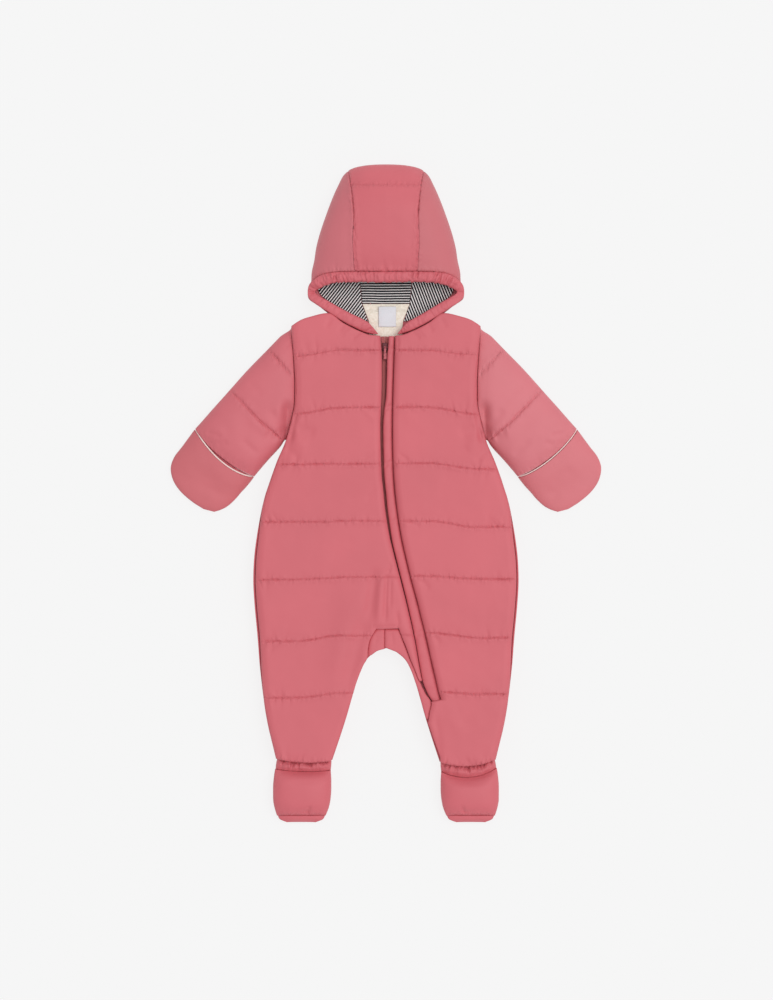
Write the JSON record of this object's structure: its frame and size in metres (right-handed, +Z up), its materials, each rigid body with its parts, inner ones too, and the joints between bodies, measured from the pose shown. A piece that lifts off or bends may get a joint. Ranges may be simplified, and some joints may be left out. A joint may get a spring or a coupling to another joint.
{
  "type": "baby snowsuit",
  "caption": "Quilted one-piece baby snowsuit laid flat, with a hood, fold-over mittens, booties and a slanting covered zip.",
  "frame": {"origin": "centre of the suit's outline on the ground it lies on", "axes": "+Y from the booties to the hood, +X towards the wearer's left, +Z up through the front"},
  "size_m": [0.4686, 0.7146, 0.0473],
  "materials": {
    "shell_taffeta": "matte rose taffeta with a faint sheen",
    "piping": "pale pink-cream cord",
    "fleece": "cream brushed fleece",
    "striped_jersey": "navy and white fine stripes",
    "woven_label": "blank pale woven label",
    "zip_tape": "woven tape in the shell's colour",
    "zip_metal": "satin enamel in the shell's colour"
  },
  "bodies": {
    "suit": {"front_right": "shell_taffeta", "front_left": "shell_taffeta", "gusset_right": "shell_taffeta", "gusset_left": "shell_taffeta", "back": "shell_taffeta", "sleeve_left": "shell_taffeta", "sleeve_right": "shell_taffeta", "cuff_left": "shell_taffeta", "cuff_right": "shell_taffeta", "ankle_casing_left": "shell_taffeta", "ankle_casing_right": "shell_taffeta", "mitten_flap_left": "shell_taffeta", "mitten_flap_right": "shell_taffeta", "mitten_back_left": "shell_taffeta", "mitten_back_right": "shell_taffeta", "bootie_upper_left": "shell_taffeta", "bootie_upper_right": "shell_taffeta", "bootie_sole_left": "shell_taffeta", "bootie_sole_right": "shell_taffeta", "hood_side_left": "shell_taffeta", "hood_side_right": "shell_taffeta", "hood_centre": "shell_taffeta", "hood_casing": "shell_taffeta", "placket": "shell_taffeta", "mitten_piping_left": "piping", "mitten_piping_right": "piping", "lining_neck": "fleece", "lining_centre": "striped_jersey", "lining_side_left": "striped_jersey", "lining_side_right": "striped_jersey", "neck_label": "woven_label", "zip_tape_left": "zip_tape", "zip_tape_right": "zip_tape", "zip_slider": "zip_metal"},
    "tab": {"pull_tab": "zip_metal"}
  },
  "joints": [
    {"name": "tab_hinge", "type": "hinge", "parent": "suit", "child": "tab", "pos_m": [-0.001, 0.1585, 0.0186], "axis": [-1, 0, 0], "range_deg": [0, 150]}
  ]
}
